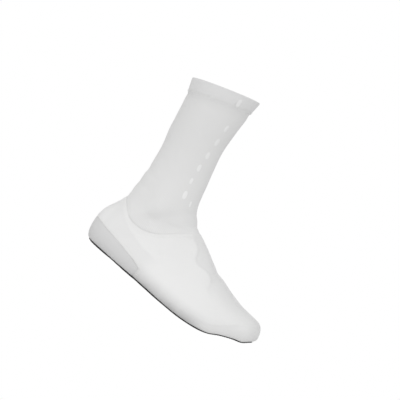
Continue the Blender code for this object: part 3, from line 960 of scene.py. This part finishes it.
def stitches(name, lines, thread, look="seam_thread", slot=None):
    """Threads laid end to end along lines, with gaps where they dive into the cloth."""
    laid = []
    for line in lines:
        ends = even_steps(line, thread.pitch) if thread.pitch else line
        middle = (ends[1:] + ends[:-1]) / 2
        along = ends[1:, :3] - ends[:-1, :3]
        reach = np.linalg.norm(along, axis=1, keepdims=True)
        half = thread.length / 2 if thread.pitch else reach / 2
        outward = middle[:, 3:]
        laid.append(np.stack([
            middle[:, :3], along / reach * half, outward, np.cross(along / reach, outward)
        ]))
    place, along, outward, across = np.concatenate(laid, axis=1)[:, :, None, None]
    at, size, up = np.array(STITCH_RINGS).T[:, None, :, None, None]
    turn = (np.arange(STITCH_SIDES) * 2 * math.pi / STITCH_SIDES)[:, None]
    centre = place + along * at + outward * (up * thread.height + thread.out)
    points = centre + (across * np.cos(turn) + outward * np.sin(turn)) * size * thread.width / 2
    rings = len(STITCH_RINGS)
    sides, corners = tube_faces(rings, STITCH_SIDES)
    caps = np.arange(STITCH_SIDES) + [[0], [(rings - 1) * STITCH_SIDES]]
    caps[1] = caps[1, ::-1]
    cap_marks = [(end, corner % STITCH_SIDES) for end, cap in zip((0, rings), caps) for corner in cap]
    faces = []
    for first in range(0, points[..., 0].size, rings * STITCH_SIDES):
        faces += (sides + first).tolist() + (caps + first).tolist()
    marks = np.tile(np.concatenate([corners.reshape(-1, 2), cap_marks]), (len(points), 1))
    return finished(new_object(name, points.reshape(-1, 3), faces, marks), look, slot)


def add_node(tree, kind, *inputs, **settings):
    """A new node with its settings, and with its first inputs linked or set."""
    made = tree.nodes.new("ShaderNode" + kind)
    for name, value in settings.items():
        setattr(made, name, value)
    for socket, value in zip(made.inputs, inputs):
        if isinstance(value, bpy.types.NodeSocket):
            tree.links.new(value, socket)
        elif value is not None:
            socket.default_value = value
    return made


class Look:
    """A material whose nodes read the cloth coordinates, in millimetres."""

    def __init__(self, name, colour, roughness):
        self.material = bpy.data.materials.new(name)
        self.material.use_nodes = True
        self.tree = self.material.node_tree
        self.shader = self.tree.nodes["Principled BSDF"]
        self.shader.inputs["Base Color"].default_value = (*colour, 1.0)
        self.shader.inputs["Roughness"].default_value = roughness
        self.colour = colour
        place = self.node("UVMap", uv_map=CLOTH_MAP).outputs[0]
        self.u, self.v = self.node("SeparateXYZ", place).outputs[:2]
        self.body = self.node("TexCoord").outputs["Object"]

    def node(self, kind, *inputs, **settings):
        """A new node with its first inputs linked or set."""
        return add_node(self.tree, kind, *inputs, **settings)

    def maths(self, operation, *values):
        """The output of a Math node."""
        return self.node("Math", *values, operation=operation).outputs[0]

    def product(self, *factors):
        """The factors multiplied."""
        total = factors[0]
        for factor in factors[1:]:
            total = self.maths("MULTIPLY", total, factor)
        return total

    def wave(self, mark, pitch):
        """A sine that changes sign every pitch millimetres."""
        return self.maths("SINE", self.product(mark, math.pi / pitch))

    def noise(self, scale, detail):
        """Smooth noise from 0 to 1, with so many lumps to a metre of the object."""
        return self.node("TexNoise", self.body, None, scale, detail).outputs[0]

    def stretch(self, value, start, end, low, high, **settings):
        """A node that stretches a value from start to end to run from low to high."""
        return self.node("MapRange", value, start, end, low, high, **settings)

    def between(self, value, low, high):
        """A value from 0 to 1 stretched to run from low to high."""
        return self.stretch(value, 0.0, 1.0, low, high).outputs[0]

    def mask(self, name):
        """The value painted on the mesh under a name."""
        return self.node("Attribute", attribute_name=name).outputs["Fac"]

    def drive(self, name, node):
        """Links a node's first output to an input of the shader."""
        self.tree.links.new(node.outputs[0], self.shader.inputs[name])

    def tint(self, *factors):
        """Multiplies the colour by each factor."""
        scaled = (self.colour, None, None, self.product(*factors))
        self.drive("Base Color", self.node("VectorMath", *scaled, operation="SCALE"))

    def bump(self, height, depth):
        """Bumps of a depth in millimetres where height goes from 0 to 1."""
        made = self.node("Bump", 1.0, depth * MM)
        self.tree.links.new(height, made.inputs["Height"])
        self.drive("Normal", made)

    def plain_weave(self, pitch):
        """The height of a plain weave, from 0 between the threads to 1 on top of them."""
        warp, weft = self.wave(self.u, pitch), self.wave(self.v, pitch)
        over = self.product(warp, weft)
        up = self.product(self.maths("ABSOLUTE", warp), self.between(over, CROSSING, OVER))
        down = self.product(self.maths("ABSOLUTE", weft), self.between(over, CROSSING, UNDER))
        return self.maths("MAXIMUM", up, down)

    def rib_knit(self, pitch, loop):
        """The height of ribs that run down the cloth, each a column of knitted loops."""
        rib = self.maths("ABSOLUTE", self.wave(self.u, pitch))
        course = self.maths("ADD", self.product(self.v, 1 / loop), self.product(rib, LOOP_LEAN))
        loops = self.maths("ABSOLUTE", self.maths("SINE", self.product(course, math.pi)))
        return self.product(self.maths("POWER", rib, RIB_POWER), self.between(loops, LOOP_DIP, 1.0))


def cloth_look(name, cloth):
    """A cloth: its weave or knit, with shade painted between the threads, its tone differing at random, with a soft
    sheen.
    """
    look = Look(name, cloth.colour, cloth.roughness)
    look.shader.inputs["Sheen Weight"].default_value = cloth.sheen
    look.shader.inputs["Sheen Roughness"].default_value = SHEEN_ROUGHNESS
    weave = look.rib_knit(cloth.pitch, cloth.loop) if cloth.loop else look.plain_weave(cloth.pitch)
    broad, fibre, uneven = look.noise(*BROAD_NOISE), look.noise(*FIBRE_NOISE), cloth.uneven
    # Wear, together with shade painted low on the foot, where it curves under towards the sole.
    worn_and_shaded = look.product(look.mask(WEAR_AND_PAINTED_SHADE), look.between(look.noise(*WEAR_SHADE_NOISE), *PATCHY))
    height = look.node("SeparateXYZ", look.body).outputs[2]
    # The colour takes painted shade between the threads, random tone, wear with painted shade low on the foot, painted
    # shade and light over hollows, and the ankle's tone.
    look.tint(
        look.between(weave, 1 - uneven, 1.0),
        look.between(broad, 1 - uneven * BROAD_DARK, 1 + uneven * BROAD_LIGHT),
        look.between(fibre, 1 - uneven * FIBRE_SHARE, 1 + uneven * FIBRE_SHARE),
        look.between(worn_and_shaded, 1.0, 1 - cloth.soil),
        look.maths("ADD", look.product(look.mask(PAINTED_SHADE), SHADE_TONE - 1), 1.0),
        look.stretch(height, *LOW_TONE_HEIGHTS, cloth.low_tone, 1.0).outputs[0],
    )
    low, high = cloth.roughness - ROUGHNESS_RANGE, cloth.roughness + ROUGHNESS_RANGE
    look.drive("Roughness", look.stretch(broad, 0.0, 1.0, low, high))
    look.bump(look.maths("ADD", weave, look.product(fibre, FIBRE_HEIGHT)), cloth.depth)
    return look.material


def ridge(grid):
    """The relief along the outer side of the instep: a soft ridge, and a drop just above it."""
    below = grid.below(RIDGE)
    top = RIDGE_HEIGHT * np.where(below > 0, hump(below, RIDGE_BELOW), hump(below, RIDGE_ABOVE))
    drop = RIDGE_DROP * along_stretch(-below, (*RIDGE_FALL, *RIDGE_RETURN))
    return (top - drop) * along_stretch(grid.x, RIDGE_ENDS) * side_fade(grid.side, OUTER)


def steps(grid):
    """The relief of the steps on the outer side of the foot."""
    height = np.zeros(grid.x.shape)
    for step in STEPS:
        depth = step.height * along_stretch(grid.below(step.rows), (0, step.spread, *STEP_BACK))
        height -= depth * along_stretch(grid.x, step.ends)
    return height * side_fade(grid.side, OUTER)


def ripples(grid, amount, seed=5):
    """Soft unevenness: waves of many directions and lengths, with a seeded start."""
    draw = np.random.default_rng(seed)
    height = np.zeros(grid.x.shape)
    body = np.stack([grid.x, grid.y, grid.z], axis=-1)
    for length in RIPPLE_LENGTHS:
        way = draw.normal(size=3)
        way *= 2 * math.pi / length / np.linalg.norm(way)
        height += np.sin(body @ way + draw.uniform(0, 2 * math.pi))
    return amount * height / math.sqrt(len(RIPPLE_LENGTHS))


def cloth_relief(grid):
    """The folds and the unevenness of soft cloth."""
    return swellings(FOLDS, grid.x, grid.z, grid.side) + ripples(grid, SOFT_RIPPLE)


def top_edge(inside, grid):
    """The relief along the edge of a panel that lies on its neighbour, by the distance inside it."""
    proud = ON_LAP * (1 - rise(inside, *ON_LAP_ENDS)) - EDGE_SINK * (1 - rise(inside, *EDGE_SINK_ENDS))
    groove = -SEAM_GROOVE * sum(hump(inside - row, SEAM_SPREAD) for row in SEAM_ROWS)
    stray, length = PUCKER_WANDER
    phase = (grid.x + grid.y + grid.z) * 2 * math.pi / PUCKER_PITCH + stray * np.sin(grid.x / length)
    pucker = PUCKER * np.sin(phase) * hump(inside - SEAM_ROWS[1], PUCKER_SPREAD)
    return proud + groove + pucker


def under_edge(clear, ends):
    """The relief of a panel that runs on under its neighbour, by how far a point is clear of it."""
    return UNDER_LAP * (1 - rise(clear, *ends))


def make_cuff_hem():
    """The folded hem of the cuff, with two rows of stitches along its foot."""
    grid = Grid(CUFF_EDGE, BAND_FOOT + HEM_PAST_FOOT, HEM_SPACING)
    depths, out = smooth_rows(HEM_PROFILE, HEM_STEP).T
    out = out - BAND_VALLEY * hump(BAND_DEPTH - depths, BAND_SPREAD)
    place, spread = HEM_PUCKER_PLACE
    waves = np.sin(np.arange(AROUND) * 2 * math.pi * HEM_PUCKERS / AROUND)
    out = out[:, None] + HEM_PUCKER * waves * hump(depths - place, spread)[:, None]
    rings = grid.at_depths(depths)
    rings = rings[..., :3] + rings[..., 3:] * out[..., None]
    down = travelled(rings).mean(axis=1, keepdims=True)
    made = tube("cuff_hem", rings, travelled(closed_rings(rings), axis=1), down)
    whole = rise(depths[0] - depths, 0, HEM_FOOT_DEPTH)
    whole[len(depths) // 2 :] = 1.0
    mark_edges(made, np.repeat(whole, AROUND))
    thicken(made, HEM_WALL, offset=0.0)
    hem = finished(made, "cuff_cloth")
    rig.replaces(hem, "cuff_band")
    rows = [np.concatenate([ring, ring[:1]]) for ring in grid.at_depths(HEM_SEAM_ROWS)]
    sewn = stitches("cuff_hem_stitches", rows, HEM_THREAD)
    grid.lift(np.full(grid.x.shape, CUFF_PRINT_OUT))
    declare(hem, FLAT["cuff_hem"], [sewn, make_dashes("cuff_print", CUFF_DASHES, grid)])


def make_leg_knit():
    """The knitted sleeve, from under the cuff's hem to under the edge of the foot's outer."""
    grid = Grid(BAND_FOOT - LAP / BAND_DEPTH, HEEL_CORNER_RING - 1)
    above_top = -grid.below(TOPLINE)
    below_band = grid.marks[:, :-1, 1] - LAP
    grid.lift(
        cloth_relief(grid)
        + under_edge(above_top, UNDER_TOPLINE)
        + HEM_LAP * (1 - rise(below_band, *HEM_LAP_ENDS))
        - BAND_VALLEY * hump(below_band, BAND_SPREAD)
    )
    grid.settle()
    grid.marks[..., 0] = np.arange(AROUND + 1) / AROUND * WALES * RIB_PITCH
    knit = panel("leg_knit", grid, above_top + LAP, CLOTH_WALL, "sleeve_cloth")
    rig.replaces(knit, "leg_sleeve")
    declare(knit, FLAT["leg_knit"], [make_dashes("leg_print", LEG_DASHES, grid)])


def make_foot_shell():
    """The outer of the foot, with stitches along the topline and above the heel wedge."""
    grid = Grid(COLLAR_RING - 1, TOE_RING, closed_toe=True)
    below_top = grid.below(TOPLINE)
    above_sole = -grid.below(SOLE_EDGE)
    off_heel = -heel_depth(grid.x, grid.z)
    grid.tuck()
    grid.lift(
        (cloth_relief(grid) + ridge(grid) + steps(grid)) * rise(below_top, *BELOW_TOPLINE)
        + top_edge(below_top, grid)
        + top_edge(off_heel, grid) * HEEL_LAP
        + under_edge(above_sole, UNDER_SOLE_EDGE)
    )
    grid.settle()
    keep = np.minimum(np.minimum(below_top, off_heel), above_sole + SOLE_LAP)
    shell = panel("foot_shell", grid, keep, CLOTH_WALL, "cover_cloth")
    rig.replaces(shell, "foot_cover")
    lines = []
    for row in SEAM_ROWS:
        lines += contours(grid, below_top - row)
        lines += contours(grid, off_heel - row, within=above_sole - SEAM_STOP)
    sewn = stitches("foot_shell_stitches", lines, SEAM_THREAD)
    edges = contours(grid, below_top - LOCK_ROW)
    edges += contours(grid, off_heel - LOCK_ROW, within=above_sole - LOCK_STOP)
    locked = [zigzag(edge, LOCK_STEP, LOCK_REACH) for edge in edges]
    lock = stitches("foot_shell_flatlock", locked, LOCK_THREAD)
    declare(shell, FLAT["foot_shell"], [sewn, lock])


def make_heel_wedge():
    """The wedge round the back of the heel, under the edges of its neighbours."""
    grid = Grid(COLLAR_RING + 2, COLLAR_RING + 10)
    inside = heel_depth(grid.x, grid.z)
    above_sole = -grid.below(SOLE_EDGE)
    grid.tuck()
    grid.lift(
        ripples(grid, FIRM_RIPPLE, seed=8)
        + under_edge(inside, UNDER_HEEL_LINE)
        + under_edge(above_sole, UNDER_SOLE_EDGE)
    )
    grid.settle()
    keep = np.minimum(inside + LAP, above_sole + SOLE_LAP)
    wedge = panel("heel_wedge", grid, keep, CLOTH_WALL, "heel_cloth")
    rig.replaces(wedge, "heel_panel")
    declare(wedge, FLAT["heel_wedge"])


def make_sole_cloth():
    """The hard-wearing underside, with its stitched edge and its two bound windows."""
    grid = Grid(HEEL_CORNER_RING - 2, TOE_RING, closed_toe=True)
    inside = grid.below(SOLE_EDGE)
    grid.tuck()
    grid.lift(SOLE_PROUD * (1 - rise(inside, *SOLE_PROUD_ENDS)) + ripples(grid, FIRM_RIPPLE, seed=11))
    grid.settle()
    keep = inside
    lines = contours(grid, inside - SOLE_SEAM)
    profile = smooth_rows(BINDING_PROFILE, BINDING_STEP)
    bindings = []
    for name, window in SOLE_WINDOWS.items():
        clear = np.where(grid.outward[..., 2] < 0, window_distance(window, grid.x, grid.y), LAP)
        keep = np.minimum(keep, clear)
        edge, middle = contours(grid, clear)[0], (window.x, window.y, 0)
        bindings.append(strip(name + "_binding", edge, profile, "sole_cloth", BINDING_WALL, middle))
        lines += contours(grid, clear - BINDING_SEAM)
    cloth = panel("sole_cloth", grid, keep, SOLE_WALL, "sole_cloth", rim=SOLE_RIM)
    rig.replaces(cloth, "sole_panel")
    sewn = stitches("sole_stitches", lines, SOLE_THREAD, "dark_thread", "sole_cloth")
    declare(cloth, FLAT["sole_cloth"], [sewn, *bindings])


def make_dashes(name, dashes, grid):
    """Short printed dashes on the outer side of the leg, as one piece of low domes."""
    turn = np.arange(DASH_SIDES) * 2 * math.pi / DASH_SIDES
    rim = np.stack([np.cos(turn), np.sin(turn)])
    rim = (np.sign(rim) * np.abs(rim) ** np.array(DASH_POWERS)[:, None])[..., None] / 2
    size, height = np.array(DASH_RINGS).T[..., None, None]
    rings = len(DASH_RINGS)
    corners = np.arange(DASH_SIDES)
    points, faces = [], []
    for dash in dashes:
        away = np.where(grid.side < 0, np.hypot(grid.x - dash.x, grid.z - dash.z), np.inf)
        i, j = np.unravel_index(away.argmin(), away.shape)
        middle, out = grid.points[i, j], grid.outward[i, j]
        down = grid.points[i + 1, j] - grid.points[i - 1, j]
        down /= np.linalg.norm(down)
        shift = np.array([dash.x - middle[0], 0, dash.z - middle[2]])
        middle = middle + shift - out * (shift @ out)
        across = np.cross(out, down)
        edge = down * rim[0] * dash.length + across * rim[1] * dash.width
        first = len(points)
        points.append(middle + out * DASH_HEIGHT)
        points.extend((middle + edge * size + out * height * DASH_HEIGHT).reshape(-1, 3))
        faces += (tube_faces(rings, DASH_SIDES)[0] + first + 1).tolist()
        top = np.stack([corners * 0 - 1, corners, (corners + 1) % DASH_SIDES], axis=1)
        faces += (top + first + 1).tolist()
        faces.append((corners[::-1] + (rings - 1) * DASH_SIDES + first + 1).tolist())
    marks = np.zeros((sum(len(face) for face in faces), 2))
    return finished(new_object(name, points, faces, marks), "gloss_print")


def declare(piece, flat, with_pieces=()):
    """Declares a stretched sheet of cloth by its flat cut, in millimetres."""
    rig.sheet(
        piece, flat=(flat.width * MM, flat.length * MM), held="stretched", rests_on=[],
        area=flat.area * MM * MM, with_pieces=list(with_pieces),
    )


def paint_masks(made):
    """Marks where the cloth is rubbed and soiled, with shade painted low on the foot, and where shade is painted on it
    over hollows, with a little painted light on the sleeve.
    """
    mesh = made.data
    places = np.empty(len(mesh.vertices) * 3)
    mesh.vertices.foreach_get("co", places)
    x, y, z = (places.reshape(-1, 3) / MM + (HEEL_SEAT, 0, 0)).T
    for name, values in ((WEAR_AND_PAINTED_SHADE, wear_and_painted_shade_at(x, z)), (PAINTED_SHADE, painted_shade_at(x, y, z))):
        layer = mesh.attributes.new(name, "FLOAT", "POINT")
        layer.data.foreach_set("value", values.astype(np.float32))


def wear_and_painted_shade_at(x, z):
    """How rubbed and soiled the cloth is at points seen from the side, with shade painted where the foot curves under
    towards the sole.
    """
    (heel, *heel_ends), (front, *front_ends), (tip, *tip_ends) = WEAR_SHADE_HEEL, WEAR_SHADE_FRONT, WEAR_SHADE_TIP
    # Darker towards the sole's edge: soiling, and shade painted where the foot curves under.
    above = np.maximum(-depth_below(SOLE_EDGE, x, z), 0)
    low = np.clip(1 - above / WEAR_SHADE_HEIGHT, 0, 1) ** WEAR_SHADE_POWER
    low *= heel + (1 - heel) * rise(x, *heel_ends)
    low *= 1 - (1 - front) * rise(x, *front_ends)
    return np.maximum(low, tip * rise(x, *tip_ends))


def painted_shade_at(x, y, z):
    """Painted shade on the outer side, where the cloth spans a hollow, and painted light where it is below zero."""
    below_top = depth_below(TOPLINE, x, z)
    above_ridge = -depth_below(RIDGE, x, z)
    # Painted shade above the ridge, over the top of the foot, and below the steps.
    shade = RIDGE_PAINTED_SHADE * rise(above_ridge, 0, np.interp(x, *RIDGE_SHADE)) * rise(x, *RIDGE_ENDS[:2])
    for step in STEPS:
        below = rise(depth_below(step.rows, x, z), *STEP_SHADE)
        shade = np.maximum(shade, step.shade * below * along_stretch(x, step.ends))
    shade *= rise(below_top, *SHADE_LINE) * (1 - rise(heel_depth(x, z), *SHADE_LINE))
    # Painted light on the sleeve just above the front of the topline.
    reach, start, whole = COLLAR_PAINTED_LIGHT
    shade -= (1 - rise(-below_top, 0, reach)) * rise(-below_top, *SHADE_LINE) * rise(x, start, whole)
    # Painted shade below the foot of the cuff's band.
    front_x, front_z, back_x, back_z = RINGS[BAND_FOOT][:4]
    band_foot = back_z + (x - back_x) * (front_z - back_z) / (front_x - back_x)
    shade += 1 - rise(band_foot - z, *BAND_SHADE)
    return shade * rise(-y, *SHADE_SIDE)


def make_camera():
    """A long lens, level with the middle of the object, rolled as the photograph is."""
    camera = bpy.data.objects.new("camera", bpy.data.cameras.new("camera"))
    up = Vector(CAMERA_UP).normalized()
    back = Vector((0, -1, 0))
    turn = Matrix((up.cross(back), up, back)).transposed().to_quaternion()
    camera.matrix_world = Matrix.LocRotScale(Vector(CAMERA_PLACE), turn, None)
    camera.data.sensor_fit = "HORIZONTAL"
    camera.data.angle = 2 * math.atan(VIEW_WIDTH / 2 / -CAMERA_PLACE[1])
    bpy.context.scene.collection.objects.link(camera)
    bpy.context.scene.camera = camera


def make_key_light():
    """A soft square light, high above the camera and a little to its left."""
    light = bpy.data.lights.new("key", "AREA")
    light.size = KEY_SIZE
    light.energy = KEY_POWER
    lamp = bpy.data.objects.new("key", light)
    lamp.location = KEY_PLACE
    lamp.rotation_euler = (Vector(KEY_TARGET) - Vector(KEY_PLACE)).to_track_quat("-Z", "Y").to_euler()
    bpy.context.scene.collection.objects.link(lamp)


def make_world():
    """Even studio light, most of it from all round, with a white backdrop."""
    world = bpy.data.worlds.new("studio")
    world.use_nodes = True
    bpy.context.scene.world = world
    tree = world.node_tree
    way = add_node(tree, "TexCoord").outputs["Generated"]
    up = add_node(tree, "SeparateXYZ", way).outputs["Z"]
    height = add_node(tree, "MapRange", up, -1.0).outputs[0]
    ramp = add_node(tree, "ValToRGB", height)
    while len(ramp.color_ramp.elements) < len(WORLD_LIGHT):
        ramp.color_ramp.elements.new(0.5)
    for stop, (place, strength) in zip(ramp.color_ramp.elements, WORLD_LIGHT):
        stop.position = place
        stop.color = (strength, strength, strength, 1.0)
    light = tree.nodes["Background"]
    light.inputs["Color"].default_value = WHITE
    tree.links.new(ramp.outputs[0], light.inputs["Strength"])
    white = add_node(tree, "Background", WHITE, 1.0)
    seen = add_node(tree, "LightPath").outputs["Is Camera Ray"]
    mix = add_node(tree, "MixShader", seen, light.outputs[0], white.outputs[0])
    tree.links.new(mix.outputs[0], tree.nodes["World Output"].inputs["Surface"])


def make_floor():
    """A plain pale round floor below the object, which glows more and more towards its edge as painted light, so that
    it is darker under the object, as a painted shadow.
    """
    mesh = bmesh.new()
    bmesh.ops.create_circle(mesh, cap_ends=True, segments=FLOOR_SIDES, radius=FLOOR_RADIUS)
    data = bpy.data.meshes.new("floor")
    mesh.to_mesh(data)
    mesh.free()
    floor = bpy.data.objects.new("floor", data)
    floor.location = FLOOR_PLACE
    bpy.context.scene.collection.objects.link(floor)
    look = Look("floor_paint", (FLOOR_TONE,) * 3, FLOOR_ROUGHNESS)
    away = look.node("VectorMath", look.body, operation="LENGTH").outputs["Value"]
    look.shader.inputs["Emission Color"].default_value = WHITE
    # Painted glow that grows towards the floor's edge, leaving a painted shadow under the object.
    look.drive("Emission Strength", look.stretch(away, *FLOOR_PAINTED_GLOW, interpolation_type="SMOOTHSTEP"))
    data.materials.append(look.material)
    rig.stage(floor)


make_camera()
LOOKS = {name: cloth_look(name, cloth) for name, cloth in CLOTHS.items()}
make_cuff_hem()
make_leg_knit()
make_foot_shell()
make_heel_wedge()
make_sole_cloth()
make_floor()
make_key_light()
make_world()
bpy.context.scene.view_settings.view_transform = "Standard"

size = {"cad": [list(corner) for corner in cad_box], "visual": [list(corner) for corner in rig.bounds()]}
with open("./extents.json", "w") as file:
    json.dump(size, file)
